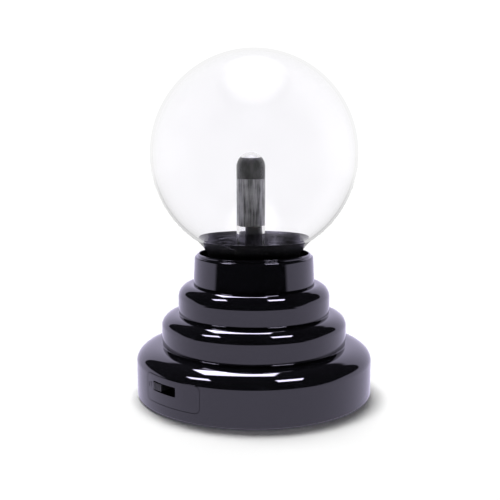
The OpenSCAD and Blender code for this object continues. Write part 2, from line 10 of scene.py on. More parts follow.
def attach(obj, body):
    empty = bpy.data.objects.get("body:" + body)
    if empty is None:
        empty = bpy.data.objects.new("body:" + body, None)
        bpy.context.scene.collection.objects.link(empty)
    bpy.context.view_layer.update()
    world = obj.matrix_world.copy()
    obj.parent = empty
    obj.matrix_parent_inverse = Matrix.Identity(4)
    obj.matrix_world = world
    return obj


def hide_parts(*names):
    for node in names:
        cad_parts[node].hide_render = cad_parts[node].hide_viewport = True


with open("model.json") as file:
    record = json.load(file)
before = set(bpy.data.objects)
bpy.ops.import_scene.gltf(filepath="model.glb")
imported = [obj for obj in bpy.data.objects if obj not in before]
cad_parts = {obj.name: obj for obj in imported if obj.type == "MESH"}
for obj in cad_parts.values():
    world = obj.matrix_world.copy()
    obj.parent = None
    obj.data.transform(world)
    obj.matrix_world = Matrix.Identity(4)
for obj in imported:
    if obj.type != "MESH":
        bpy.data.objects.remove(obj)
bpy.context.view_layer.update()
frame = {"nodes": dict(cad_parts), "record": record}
NODES = frame["nodes"]
MM = 0.001
BASE = "base"

# ---------------------------------------------------------------- sizes (mm)
# the three tiers: outer radii, heights of their tops, and the half axes of their shoulders
BASE_R, MID_R, TOP_R = 52.8, 41.5, 34.0
BASE_TOP, MID_TOP, TOP_TOP = 22.7, 36.45, 49.5
BASE_A, BASE_B = 11.3, 7.0
MID_A, MID_B = 7.5, 5.5
TOP_A, TOP_B = 5.8, 6.0
BASE_EDGE_Z, MID_EDGE_Z, TOP_EDGE_Z = BASE_TOP - BASE_B, MID_TOP - MID_B, TOP_TOP - TOP_B
WALL = 2.2
UNDERSIDE_Z, RIM_ROUND = 0.6, 0.45
CREASE = 0.35                   # rounding where a shoulder meets the next tier
SEAT_R = 25.0                   # inner edge of the top tier, under the collar
BOSS_CIRCLE, BOSS_ANGLES = 45, (15, 105, 195, 285)
BOSS_BORE, BOSS_R, BOSS_Z0, BOSS_Z1 = 1.2, 3.4, 5.1, 20.2
FOOT_CIRCLE, FOOT_ANGLES = 44, (60, 150, 240, 330)
FOOT_R, FOOT_FLAT, FOOT_ROUND, FOOT_TOP = 4.0, 3.45, 0.55, 1.6
# glass: radii and heights of the globe, the neck and the flare between them
GLOBE_R, GLOBE_Z, GLASS = 45.7, 106.7, 1.3
NECK_R, NECK_Z, FLARE_Z, JOIN_R = 20.0, 50.0, 58.0, 25.7
JOIN_Z = GLOBE_Z - math.sqrt(GLOBE_R ** 2 - JOIN_R ** 2)
NECK_ROUND = 1.0
FLARE_POWER = 2.2
LINER = 0.7
SINK = 0.03                     # how far a lining reaches into the glass in front of it
# electrode
TUBE_X, TUBE_R, TUBE_WALL, TUBE_TOP = -1.4, 6.4, 1.1, 107.8
TUBE_HOLE_R = TUBE_R + 3.0      # opening in the foot of the neck
DOME_Z = TUBE_TOP - TUBE_R
TUBE_INNER = TUBE_R - TUBE_WALL
FILL_R = TUBE_INNER + SINK
WOOL_Z0, WOOL_Z1, BAND_TOP = 75.0, 96.0, 105.0
STRANDS, STRAND_SEED = 150, 7
STEM_R, STEM_ROUND, STEM_SHIFT = 3.8, 0.45, 1.3
# switch and power inlet
SWITCH_ANGLE, SWITCH_Z = math.radians(225.5), 11.9
SLOT_L, SLOT_H, SLOT_ROUND = 13.9, 3.9, 0.3
KNOB_W, KNOB_H, KNOB_TRAVEL = 5.0, 3.1, 8.0
KNOB_BACK, KNOB_FRONT = 47.4, BASE_R - 0.05
GROOVES, GROOVE_DEPTH = (-1.3, 0.0, 1.3), 0.4
PLATE_Y0, PLATE_Y1, PLATE_Z0, PLATE_Z1, PLATE_GAP = -12.0, 18.5, 5.0, 16.6, 0.15
PLATE_ROUND, PLATE_DEPTH = 2.4, 2.3
MARK_O_Y, MARK_I_Y, MARK_R, MARK_DEPTH = -9.5, 11.0, 0.2, 0.06
JACK_Z, JACK_R = 10.5, 3.4

# ---------------------------------------------------------------- node helpers


class Tree:
    """A node tree with short calls for its nodes; each call gives the new node or its output."""

    def __init__(self, tree):
        self.t = tree
        self.t.nodes.clear()

    def node(self, kind, inputs=(), **props):
        n = self.t.nodes.new(kind)
        for k, v in props.items():
            setattr(n, k, v)
        for k, v in dict(inputs).items():
            self.put(n.inputs[k], v)
        return n

    def put(self, socket, value):
        if isinstance(value, bpy.types.NodeSocket):
            self.t.links.new(value, socket)
        else:
            socket.default_value = value

    def math(self, op, a, b=0.0, c=0.0, clamp=False):
        n = self.t.nodes.new("ShaderNodeMath")
        n.operation, n.use_clamp = op, clamp
        for s, v in zip(n.inputs, (a, b, c)):
            self.put(s, v)
        return n.outputs[0]

    def step(self, value, low, high):
        """0 below low, 1 above high, smooth between; low may be above high."""
        n = self.t.nodes.new("ShaderNodeMapRange")
        n.interpolation_type = "SMOOTHSTEP"
        for k, v in (("Value", value), ("From Min", low), ("From Max", high)):
            self.put(n.inputs[k], v)
        return n.outputs[0]

    def ramp(self, value, stops):
        """A colour ramp with stops of (position, colour)."""
        n = self.t.nodes.new("ShaderNodeValToRGB")
        while len(n.color_ramp.elements) < len(stops):
            n.color_ramp.elements.new(0.5)
        for e, (p, c) in zip(n.color_ramp.elements, stops):
            e.position, e.color = p, (*c, 1.0)
        self.put(n.inputs[0], value)
        return n.outputs[0]

    def mix(self, fac, a, b):
        """Colour a where fac is 0, colour b where it is 1."""
        n = self.t.nodes.new("ShaderNodeMix")
        n.data_type = "RGBA"
        self.put(n.inputs[0], fac)
        for s, v in ((n.inputs[6], a), (n.inputs[7], b)):
            self.put(s, (*v, 1.0) if isinstance(v, tuple) and len(v) == 3 else v)
        return n.outputs[2]

    def noise(self, scale, detail=3.0, rough=0.55, stretch=(1, 1, 1)):
        """Noise in object space, where one unit is a metre."""
        co = self.node("ShaderNodeTexCoord").outputs["Object"]
        m = self.node("ShaderNodeMapping", {"Vector": co, "Scale": stretch})
        n = self.node("ShaderNodeTexNoise", {"Vector": m.outputs[0], "Scale": scale,
                                             "Detail": detail, "Roughness": rough})
        return n.outputs["Fac"]


def shade(color, k):
    """The colour times k, kept below 1."""
    return tuple(min(1.0, c * k) for c in color)


def material(name, color, rough, metallic=0.0, ior=1.5, scale=400.0, vary=0.15, bump=0.2,
             depth=0.00003, rough_vary=0.08, stretch=(1, 1, 1), **sockets):
    """A Principled material whose colour, roughness and surface vary by noise of that scale."""
    m = bpy.data.materials.new(name)
    m.use_nodes = True
    t = Tree(m.node_tree)
    out = t.node("ShaderNodeOutputMaterial")
    grain = t.noise(scale, stretch=stretch)
    cloud = t.noise(scale * 0.11, detail=2.0)
    tone = t.math("MULTIPLY_ADD", t.math("SUBTRACT", cloud, 0.5), 0.7, grain)
    col = t.ramp(tone, [(0.3, shade(color, 1 - vary)), (0.7, shade(color, 1 + vary))])
    rgh = t.math("MULTIPLY_ADD", t.math("SUBTRACT", cloud, 0.5), rough_vary, rough, clamp=True)
    b = t.node("ShaderNodeBump", {"Height": grain, "Strength": bump, "Distance": depth})
    p = t.node("ShaderNodeBsdfPrincipled",
               {"Base Color": col, "Roughness": rgh, "Metallic": metallic, "IOR": ior,
                "Normal": b.outputs[0]})
    for k, v in sockets.items():
        p.inputs[k.replace("_", " ")].default_value = v
    t.t.links.new(p.outputs[0], out.inputs[0])
    m.diffuse_color = (*color, 1)
    return m


def glass_material(name, tint, ior):
    """Clear glass without roughness, faintly uneven in tint and surface."""
    m = bpy.data.materials.new(name)
    m.use_nodes = True
    t = Tree(m.node_tree)
    out = t.node("ShaderNodeOutputMaterial")
    cloud = t.noise(45.0, detail=1.0)
    col = t.ramp(cloud, [(0.3, shade(tint, 0.985)), (0.7, tint)])
    wave = t.noise(28.0, detail=0.5)
    b = t.node("ShaderNodeBump", {"Height": wave, "Strength": 0.12, "Distance": 0.0004})
    p = t.node("ShaderNodeBsdfPrincipled",
               {"Base Color": col, "Roughness": 0.0, "IOR": ior, "Transmission Weight": 1.0,
                "Normal": b.outputs[0]})
    t.t.links.new(p.outputs[0], out.inputs[0])
    return m


# ---------------------------------------------------------------- mesh helpers


def arc(cx, cz, a, b, t0, t1, n, first=True):
    """Points on an ellipse from angle t0 to t1 in degrees."""
    out = []
    for i in range(0 if first else 1, n + 1):
        t = math.radians(t0 + (t1 - t0) * i / n)
        out.append((cx + a * math.cos(t), cz + b * math.sin(t)))
    return out


def run(p, q, n):
    """n points from p towards q, without p."""
    return [(p[0] + (q[0] - p[0]) * i / n, p[1] + (q[1] - p[1]) * i / n) for i in range(1, n + 1)]


def on_circle(radius, degrees):
    return (radius * math.cos(math.radians(degrees)), radius * math.sin(math.radians(degrees)))


def ellipse(cy, cz, a, b, n):
    """n points once round an ellipse of half axes a and b."""
    return [(cy + a * math.cos(2 * math.pi * i / n), cz + b * math.sin(2 * math.pi * i / n))
            for i in range(n)]


def finish_mesh(me, angle):
    """Welds the mesh and shades it smooth, with edges above angle degrees kept sharp."""
    bm = bmesh.new()
    bm.from_mesh(me)
    bmesh.ops.remove_doubles(bm, verts=bm.verts, dist=1e-7)
    bmesh.ops.recalc_face_normals(bm, faces=bm.faces)
    bm.to_mesh(me)
    bm.free()
    me.shade_smooth()
    me.set_sharp_from_angle(angle=math.radians(angle))


def add(name, me, mat, replaces, body=BASE, angle=30.0):
    """Puts a piece on its body, in place of the CAD nodes it replaces."""
    finish_mesh(me, angle)
    o = bpy.data.objects.new(name, me)
    bpy.context.scene.collection.objects.link(o)
    me.materials.clear()
    me.materials.append(mat)
    w = o.modifiers.new("even_normals", "WEIGHTED_NORMAL")
    w.keep_sharp = True
    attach(o, body)
    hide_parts(*replaces)
    return o


def lathe_mesh(name, profile, segs=256, centre=(0.0, 0.0)):
    """Revolves a closed profile of (r, z) in mm about the vertical through centre."""
    verts, faces, rings = [], [], []
    for r, z in profile:
        if r < 1e-6:
            rings.append([len(verts)])
            verts.append((centre[0] * MM, centre[1] * MM, z * MM))
        else:
            rings.append(list(range(len(verts), len(verts) + segs)))
            for i in range(segs):
                a = 2 * math.pi * i / segs
                x, y = centre[0] + r * math.cos(a), centre[1] + r * math.sin(a)
                verts.append((x * MM, y * MM, z * MM))
    n = len(profile)
    for k in range(n):
        a, b = rings[k], rings[(k + 1) % n]
        if len(a) == 1 and len(b) == 1:
            continue
        for i in range(segs):
            j = (i + 1) % segs
            if len(a) == 1:
                faces.append((a[0], b[j], b[i]))
            elif len(b) == 1:
                faces.append((a[i], a[j], b[0]))
            else:
                faces.append((a[i], a[j], b[j], b[i]))
    me = bpy.data.meshes.new(name)
    me.from_pydata(verts, [], faces)
    return me


def solid_between(name, low, high, matrix=None):
    """A closed solid between two matching rings of points in mm."""
    bm = bmesh.new()
    low = [bm.verts.new((x * MM, y * MM, z * MM)) for x, y, z in low]
    high = [bm.verts.new((x * MM, y * MM, z * MM)) for x, y, z in high]
    n = len(low)
    bm.faces.new(low[::-1])
    bm.faces.new(high)
    for i in range(n):
        bm.faces.new((low[i], low[(i + 1) % n], high[(i + 1) % n], high[i]))
    bmesh.ops.recalc_face_normals(bm, faces=bm.faces)
    me = bpy.data.meshes.new(name)
    if matrix is not None:
        bm.transform(matrix)
    bm.to_mesh(me)
    bm.free()
    return me


def prism_mesh(name, outline, x0, x1, matrix=None):
    """A closed outline of (y, z) in mm, drawn out along X from x0 to x1."""
    return solid_between(name, [(x0, y, z) for y, z in outline], [(x1, y, z) for y, z in outline],
                         matrix)


def rounded_outline(y0, y1, z0, z1, r, n=8):
    """A rectangle in (y, z) with corners of radius r, each of n steps."""
    out = []
    for cy, cz, t in ((y1 - r, z0 + r, -90), (y1 - r, z1 - r, 0),
                      (y0 + r, z1 - r, 90), (y0 + r, z0 + r, 180)):
        for i in range(n + 1):
            a = math.radians(t + 90 * i / n)
            out.append((cy + r * math.cos(a), cz + r * math.sin(a)))
    return out


def applied(me, *modifiers):
    """The mesh after modifiers, each (type, {settings})."""
    o = bpy.data.objects.new("work", me)
    bpy.context.scene.collection.objects.link(o)
    for kind, settings in modifiers:
        m = o.modifiers.new(kind, kind)
        for k, v in settings.items():
            setattr(m, k, v)
    dg = bpy.context.evaluated_depsgraph_get()
    out = bpy.data.meshes.new_from_object(o.evaluated_get(dg))
    bpy.data.objects.remove(o)
    return out


def cut(me, *cutters):
    """me with each cutter mesh taken away."""
    for c in cutters:
        k = bpy.data.objects.new("cutter", c)
        bpy.context.scene.collection.objects.link(k)
        me = applied(me, ("BOOLEAN", {"operation": "DIFFERENCE", "solver": "EXACT", "object": k}))
        bpy.data.objects.remove(k)
    return me


def bevelled(me, width, segments=2):
    """me with its edges sharper than 35 degrees rounded over width mm."""
    return applied(me, ("BEVEL", {"width": width * MM, "segments": segments, "limit_method": "ANGLE",
                                  "angle_limit": math.radians(35.0), "harden_normals": False}))


def joined(name, *meshes):
    """One mesh of all the meshes, side by side."""
    bm = bmesh.new()
    for m in meshes:
        bm.from_mesh(m)
    me = bpy.data.meshes.new(name)
    bm.to_mesh(me)
    bm.free()
    return me


def tube_mesh(name, points, radius, sides=10, closed=False):
    """A round tube of that radius in mm along points in mm, with parallel-transported rings."""
    pts = [Vector(p) * MM for p in points]
    n = len(pts)
    tangents = []
    for i in range(n):
        a = pts[i - 1] if closed or i > 0 else pts[i]
        b = pts[(i + 1) % n] if closed or i < n - 1 else pts[i]
        tangents.append((b - a).normalized())
    up = Vector((0, 0, 1)) if abs(tangents[0].z) < 0.9 else Vector((1, 0, 0))
    side = tangents[0].cross(up).normalized()
    bm = bmesh.new()
    rings = []
    for i, (p, t) in enumerate(zip(pts, tangents)):
        side = (side - t * side.dot(t)).normalized()
        other = t.cross(side)
        rings.append([bm.verts.new(p + (side * math.cos(2 * math.pi * k / sides)
                                        + other * math.sin(2 * math.pi * k / sides)) * radius * MM)
                      for k in range(sides)])
    for i in range(n if closed else n - 1):
        a, b = rings[i], rings[(i + 1) % n]
        for k in range(sides):
            bm.faces.new((a[k], a[(k + 1) % sides], b[(k + 1) % sides], b[k]))
    if not closed:
        bm.faces.new(rings[0][::-1])
        bm.faces.new(rings[-1])
    me = bpy.data.meshes.new(name)
    bm.to_mesh(me)
    bm.free()
    return me


# ---------------------------------------------------------------- camera, floor, light

scene = bpy.context.scene
scene.view_settings.view_transform = "Standard"
scene.view_settings.look = "None"

SENSOR = 36.0
FOCAL_SHARE = 1.4686            # focal length over picture width
CAM_Y, CAM_Z = -0.327, 0.1072   # metres
PITCH, YAW = math.radians(7.49), math.radians(0.312)
cam = bpy.data.objects.new("camera", bpy.data.cameras.new("camera"))
scene.collection.objects.link(cam)
cam.data.sensor_width = SENSOR
cam.data.lens = FOCAL_SHARE * SENSOR
cam.data.clip_start, cam.data.clip_end = 0.01, 50.0
cam.location = (0.0, CAM_Y, CAM_Z)
cam.rotation_euler = (math.radians(90) - PITCH, 0.0, YAW)
scene.camera = cam

# The surround answers by kind of ray. Seen directly or through glass it is plain white. The
# glass mirrors a calm room with one bright patch. Plastic mirrors, and is lit by, a room with a
# softbox overhead, two front lamps and an unlit side; its reflections have a lavender cast.
TURN = math.radians(6.5)        # the unlit side faces a little to the left
FLOOR_EDGE, FLOOR_BLUR = 0.285, 0.03    # metres in front of the object where the lit floor ends
FLOOR_HALF = 6.0                # metres
WHITE = 1.115                   # what is seen directly
PAPER = 0.98
NEUTRAL, LAVENDER = (1.0, 1.0, 1.0), (1.0, 0.94, 1.25)
ROOM, UNLIT, ROOM_BLUR = 0.98, 0.03, 0.03
LOWEST_LAMP = (0.03, 0.08)      # height on the sphere of directions where lamps fade in
# lamps as rectangles on a plane one unit up: centre, half sizes, soft edge, turn in radians
SOFTBOX = (-0.135, 0.47, 0.27, 0.21, 0.03, 0.0)
LEFT_LAMP = (-0.79, -0.22, 0.21, 0.11, 0.02, -0.28)
RIGHT_LAMP = (0.44, -0.24, 0.17, 0.11, 0.02, 0.4)
SOFTBOX_LEVEL, FRONT_LIGHT, FRONT_GLINT = 17.8, 2.0, 18.0
# the patch in the glass, on the same plane: centre, radii, and where it is full and gone
PATCH, PATCH_LEVEL = (0.0, -0.28, 0.46, 0.50, 0.6, 1.1), 1.9
CALM, CALM_DROP = 0.93, -0.80   # level of the calm room, and its change towards the front
AHEAD = (math.radians(105), math.radians(60))   # off the front: where that change starts, is full
CALM_FLOOR_NEAR, CALM_FLOOR_RISE = 0.64, 0.27


def off_front(t, x, y):
    """Angle away from the middle of the unlit side, 0 to pi."""
    a = t.math("ARCTAN2", x, t.math("MULTIPLY", y, -1.0))
    return t.math("ABSOLUTE", t.math("ADD", a, TURN))


def soft_rect(t, u, v, cu, cv, hu, hv, edge, turn):
    """1 inside a rectangle of half sizes hu, hv about (cu, cv), with soft edges."""
    du, dv = t.math("SUBTRACT", u, cu), t.math("SUBTRACT", v, cv)
    c, s = math.cos(turn), math.sin(turn)
    a = t.math("ADD", t.math("MULTIPLY", du, c), t.math("MULTIPLY", dv, s))
    b = t.math("SUBTRACT", t.math("MULTIPLY", dv, c), t.math("MULTIPLY", du, s))
    return t.math("MULTIPLY", t.step(t.math("ABSOLUTE", a), hu + edge, hu),
                  t.step(t.math("ABSOLUTE", b), hv + edge, hv))


def soft_disc(t, u, v, cu, cv, ru, rv, low, high):
    """1 inside an ellipse of radii ru, rv about (cu, cv), fading from low to high radii out."""
    du = t.math("DIVIDE", t.math("SUBTRACT", u, cu), ru)
    dv = t.math("DIVIDE", t.math("SUBTRACT", v, cv), rv)
    r = t.math("SQRT", t.math("ADD", t.math("MULTIPLY", du, du), t.math("MULTIPLY", dv, dv)))
    return t.step(r, high, low)


def invert(t, value):
    return t.math("SUBTRACT", 1.0, value)


def choose(t, fac, a, b):
    """Level a where fac is 0, level b where it is 1."""
    return t.math("ADD", t.math("MULTIPLY", a, invert(t, fac)), t.math("MULTIPLY", fac, b))


def studio_world():
    """White surround for what is seen directly, lamps and unlit side for reflections and light."""
    world = bpy.data.worlds.new("studio")
    scene.world = world
    world.use_nodes = True
    t = Tree(world.node_tree)
    out = t.node("ShaderNodeOutputWorld")
    d = t.node("ShaderNodeTexCoord").outputs["Generated"]
    x, y, z = t.node("ShaderNodeSeparateXYZ", {0: d}).outputs
    above = t.math("MAXIMUM", z, 0.02)
    u, v = t.math("DIVIDE", x, above), t.math("DIVIDE", y, above)
    up = t.step(z, *LOWEST_LAMP)
    away = off_front(t, x, y)
    # the room is lit up to an edge that is level in front and rises in two steps to the back
    first_rise = t.step(away, math.radians(68), math.radians(105))
    second_rise = t.step(away, math.radians(125), math.radians(145))
    edge = t.math("ADD", t.math("MULTIPLY", first_rise, 0.24),
                  t.math("MULTIPLY_ADD", second_rise, 0.40, -0.04))
    dark = t.step(t.math("SUBTRACT", z, edge), -ROOM_BLUR, ROOM_BLUR)
    room = t.math("MULTIPLY_ADD", invert(t, dark), ROOM, UNLIT)
    path = t.node("ShaderNodeLightPath").outputs
    seen = t.math("MAXIMUM", path["Is Camera Ray"], path["Is Transmission Ray"])
    mirror = path["Is Singular Ray"]        # only the glass has no roughness
    shiny = t.math("MULTIPLY", path["Is Glossy Ray"], invert(t, t.math("MAXIMUM", seen, mirror)))
    front = t.math("MULTIPLY", t.math("ADD", soft_rect(t, u, v, *LEFT_LAMP),
                                      soft_rect(t, u, v, *RIGHT_LAMP)),
                   t.math("MULTIPLY_ADD", shiny, FRONT_GLINT, FRONT_LIGHT))
    over = soft_rect(t, u, v, *SOFTBOX)
    lamps = t.math("MULTIPLY", up, t.math("MULTIPLY_ADD", over, SOFTBOX_LEVEL, front))
    patch = t.math("MULTIPLY", up, soft_disc(t, u, v, *PATCH))
    calm = t.math("ADD", t.math("MULTIPLY_ADD", t.step(away, *AHEAD), CALM_DROP, CALM),
                  t.math("MULTIPLY", patch, PATCH_LEVEL))
    unseen = choose(t, mirror, t.math("ADD", room, lamps), calm)
    bg = t.node("ShaderNodeBackground", {"Color": t.mix(shiny, NEUTRAL, LAVENDER),
                                         "Strength": choose(t, seen, unseen, WHITE)})
    t.t.links.new(bg.outputs[0], out.inputs[0])


def studio_floor():
    """Pale paper that takes the shadow; reflections and glass see it evenly lit instead, and
    plastic sees it unlit far out in front. From below it is not there."""
    m = bpy.data.materials.new("studio_floor")
    m.use_nodes = True
    t = Tree(m.node_tree)
    out = t.node("ShaderNodeOutputMaterial")
    geo = t.node("ShaderNodeNewGeometry").outputs
    x, y, _ = t.node("ShaderNodeSeparateXYZ", {0: geo["Position"]}).outputs
    far = t.math("SQRT", t.math("ADD", t.math("MULTIPLY", x, x), t.math("MULTIPLY", y, y)))
    away = off_front(t, x, y)
    path = t.node("ShaderNodeLightPath").outputs
    through, mirror = path["Is Transmission Ray"], path["Is Singular Ray"]
    glossy = t.math("MULTIPLY", path["Is Glossy Ray"], invert(t, through))
    unlit = t.math("MULTIPLY", t.step(far, FLOOR_EDGE - FLOOR_BLUR, FLOOR_EDGE + FLOOR_BLUR),
                   t.step(away, math.radians(73), math.radians(64)))
    lit = t.math("MULTIPLY_ADD", invert(t, unlit), 0.98, 0.02)
    calm = t.math("MULTIPLY_ADD", t.step(far, 0.05, 0.7), CALM_FLOOR_RISE, CALM_FLOOR_NEAR)
    calm = t.math("MULTIPLY", calm, t.math("MULTIPLY_ADD", t.step(away, *AHEAD), CALM_DROP, 1.0))
    level = choose(t, through, choose(t, mirror, lit, calm), WHITE)
    tint = t.mix(t.math("MAXIMUM", mirror, through), LAVENDER, NEUTRAL)
    paper = t.node("ShaderNodeBsdfDiffuse", {"Color": (PAPER, PAPER, PAPER, 1)})
    even = t.node("ShaderNodeEmission", {"Color": tint, "Strength": level})
    shown = t.node("ShaderNodeMixShader", {0: t.math("MAXIMUM", glossy, through),
                                           1: paper.outputs[0], 2: even.outputs[0]})
    clear = t.node("ShaderNodeBsdfTransparent")
    mix = t.node("ShaderNodeMixShader", {0: geo["Backfacing"], 1: shown.outputs[0],
                                         2: clear.outputs[0]})
    t.t.links.new(mix.outputs[0], out.inputs[0])
    me = bpy.data.meshes.new("floor")
    s = FLOOR_HALF
    me.from_pydata([(-s, -s, 0), (s, -s, 0), (s, s, 0), (-s, s, 0)], [], [(0, 1, 2, 3)])
    o = bpy.data.objects.new("floor", me)
    scene.collection.objects.link(o)
    me.materials.append(m)


studio_world()
studio_floor()

# ---------------------------------------------------------------- materials

GLOSS = material("gloss_black", (0.004, 0.004, 0.0055), 0.035, ior=1.58, scale=90.0, vary=0.2,
                 bump=0.05, depth=0.00001, rough_vary=0.03)
SATIN = material("satin_black", (0.02, 0.02, 0.022), 0.42, scale=3500.0, vary=0.25, bump=0.5,
                 depth=0.00004)
KNOB = material("knob_black", (0.03, 0.03, 0.033), 0.38, scale=3500.0, vary=0.2, bump=0.3,
                depth=0.00002)
RUBBER = material("black_rubber", (0.025, 0.025, 0.025), 0.75, scale=2200.0, vary=0.3, bump=0.5,
                  depth=0.00005)
CLEAR = glass_material("clear_glass", (0.987, 0.983, 1.0), 1.47)
NECK = material("neck_black", (0.006, 0.006, 0.006), 0.36, scale=500.0, vary=0.5, bump=0.3,
                depth=0.00004, rough_vary=0.15, Specular_IOR_Level=0.3)
BAND = material("dark_band", (0.065, 0.065, 0.065), 0.45, metallic=0.2, scale=420.0, vary=0.6,
                bump=0.4, depth=0.0001, stretch=(1, 1, 0.35), Specular_IOR_Level=0.3)
WOOL = material("wool", (0.36, 0.36, 0.36), 0.5, metallic=0.35, scale=1100.0, vary=0.75, bump=0.8,
                depth=0.0001, stretch=(1, 1, 0.07))
FOAM = material("foam", (0.1, 0.1, 0.1), 0.9, scale=1800.0, vary=0.5, bump=1.0, depth=0.0002)
RED_RUBBER = material("red_silicone", (0.5, 0.05, 0.04), 0.4, scale=800.0, vary=0.15)
ZINC = material("zinc_steel", (0.62, 0.62, 0.64), 0.3, metallic=1.0, scale=900.0, vary=0.12)
NICKEL = material("nickel", (0.7, 0.69, 0.66), 0.2, metallic=1.0, scale=700.0, vary=0.1)
BOARD = material("board_green", (0.03, 0.16, 0.07), 0.35, scale=700.0, vary=0.3)
FERRITE = material("ferrite", (0.06, 0.06, 0.065), 0.6, scale=1500.0, vary=0.4, bump=0.5)
COPPER = material("copper_wire", (0.7, 0.35, 0.15), 0.3, metallic=1.0, scale=2500.0, vary=0.3,
                  stretch=(0.1, 0.1, 1))
TAPE = material("yellow_tape", (0.75, 0.6, 0.12), 0.4, scale=300.0, vary=0.15)
ALUMINIUM = material("bare_aluminium", (0.75, 0.76, 0.78), 0.35, metallic=1.0, scale=900.0,
                     vary=0.1, stretch=(1, 1, 0.1))
EPOXY = material("epoxy_black", (0.015, 0.015, 0.015), 0.5, scale=1800.0, vary=0.3, bump=0.4)
CAP_BLUE = material("capacitor_blue", (0.03, 0.05, 0.2), 0.25, scale=500.0, vary=0.15)
CAP_RED = material("capacitor_red", (0.45, 0.06, 0.04), 0.25, scale=500.0, vary=0.15)
TAN = material("resistor_tan", (0.6, 0.45, 0.25), 0.35, scale=900.0, vary=0.2)
NYLON = material("white_nylon", (0.8, 0.8, 0.74), 0.45, scale=900.0, vary=0.08)
CELL = material("cell_sleeve", (0.06, 0.2, 0.1), 0.25, scale=350.0, vary=0.2)
WIRE_RED = material("wire_red", (0.6, 0.03, 0.03), 0.4, scale=900.0, vary=0.15)
WIRE_BLACK = material("wire_black", (0.02, 0.02, 0.02), 0.4, scale=900.0, vary=0.2)

SLOTS = {"gloss_black": GLOSS, "satin_black": SATIN, "black_rubber": RUBBER, "clear_glass": CLEAR,
         "neck_black": NECK, "wool": WOOL, "dark_band": BAND, "foam": FOAM,
         "red_silicone": RED_RUBBER, "zinc_steel": ZINC, "nickel": NICKEL, "board_green": BOARD,
         "ferrite": FERRITE, "copper_wire": COPPER, "yellow_tape": TAPE,
         "bare_aluminium": ALUMINIUM, "epoxy_black": EPOXY, "capacitor_blue": CAP_BLUE,
         "capacitor_red": CAP_RED, "resistor_tan": TAN, "white_nylon": NYLON, "cell_sleeve": CELL,
         "wire_red": WIRE_RED, "wire_black": WIRE_BLACK}
for part in frame["record"]["subparts"]:
    node = NODES[part["node"]]
    node.data.materials.clear()
    node.data.materials.append(SLOTS[part["material_slot"]])

# ---------------------------------------------------------------- base mouldings

AT_SWITCH = Matrix.Rotation(SWITCH_ANGLE, 4, "Z")
AT_JACK = Matrix.Rotation(math.radians(90), 4, "Z")


def base_wall():
    """Outside of the stepped base from the foot edge to the collar seat."""
    rim = BASE_R - RIM_ROUND
    p = [(BASE_R - WALL, 0.9), (BASE_R - WALL + 0.3, UNDERSIDE_Z)]
    p += run(p[-1], (rim, UNDERSIDE_Z), 2)
    p += arc(rim, 1.05, RIM_ROUND, RIM_ROUND, -90, 0, 6, False)
    p += run(p[-1], (BASE_R, BASE_EDGE_Z), 10)
    for r_in, edge_z, a, b, next_z in ((MID_R, BASE_EDGE_Z, BASE_A, BASE_B, MID_EDGE_Z),
                                       (TOP_R, MID_EDGE_Z, MID_A, MID_B, TOP_EDGE_Z)):
        last = math.degrees(math.acos(CREASE / a))
        p += arc(r_in, edge_z, a, b, 0, last, 44, False)
        p += arc(r_in + CREASE, p[-1][1] + CREASE, CREASE, CREASE, 270, 180, 6, False)
        p += run(p[-1], (r_in, next_z), 6)
    p += arc(TOP_R - TOP_A, TOP_EDGE_Z, TOP_A, TOP_B, 0, 90, 36, False)
    p += run(p[-1], (SEAT_R, TOP_TOP), 3)
    return p


def base_lining():
    """Inside of the base, from the collar seat back down."""
    p = [(SEAT_R, TOP_TOP - WALL)]
    for r_in, edge_z, a, b in ((TOP_R - TOP_A, TOP_EDGE_Z, TOP_A, TOP_B),
                               (TOP_R, MID_EDGE_Z, MID_A, MID_B),
                               (MID_R, BASE_EDGE_Z, BASE_A, BASE_B)):
        p += arc(r_in, edge_z, a - WALL, b - WALL, 90, 0, 8)
    return p


def housing():
    shell = lathe_mesh("housing", base_wall() + base_lining(), 320)
    opening = rounded_outline(PLATE_Y0 - PLATE_GAP, PLATE_Y1 + PLATE_GAP, PLATE_Z0 - PLATE_GAP,
                              PLATE_Z1 + PLATE_GAP, PLATE_ROUND + PLATE_GAP)
    window = prism_mesh("window", opening, 44, 60, AT_SWITCH)
    hole = prism_mesh("hole", ellipse(0.0, JACK_Z, JACK_R, JACK_R, 48), 46, 60, AT_JACK)
    me = cut(shell, window, hole)
    boss = [(BOSS_BORE, BOSS_Z0), (BOSS_R, BOSS_Z0), (BOSS_R, BOSS_Z1), (BOSS_BORE, BOSS_Z1)]
    bosses = [lathe_mesh("boss", boss, 32, on_circle(BOSS_CIRCLE, k)) for k in BOSS_ANGLES]
    add("housing_shell", joined("housing_shell", me, *bosses), GLOSS,
        replaces=["housing"])


def collar():
    seat = TOP_TOP + 0.06
    p = [(24.85, seat)]
    p += run(p[-1], (27.05, seat), 2)
    p += arc(27.05, TOP_TOP + 0.21, 0.15, 0.15, -90, 0, 4, False)
    p += run(p[-1], (26.6, 60.95), 8)                                   # tapering side
    p += arc(25.85, 60.95, 0.75, 0.95, 0, 84, 10, False)                # rounded top edge
    p += [(25.6, 61.95)] + arc(25.6, 62.15, 0.2, 0.2, 262, 180, 5, False)
    p += run(p[-1], (25.4, 62.55), 2) + arc(25.2, 62.55, 0.2, 0.24, 0, 75, 6, False)
    p += run(p[-1], (24.75, 62.98), 4)                                  # sloping lip
    p += arc(24.72, 62.85, 0.25, 0.25, 90, 180, 6, False)
    p += run(p[-1], (24.6, 53.2), 5)                                    # bore
    p += [(24.4, 53.0), (22.6, 53.0), (22.6, 45.5), (24.85, 45.5)]      # skirt inside the base
    add("collar_ring", lathe_mesh("collar_ring", p, 320), GLOSS,
        replaces=["globe_collar"])


# ---------------------------------------------------------------- switch


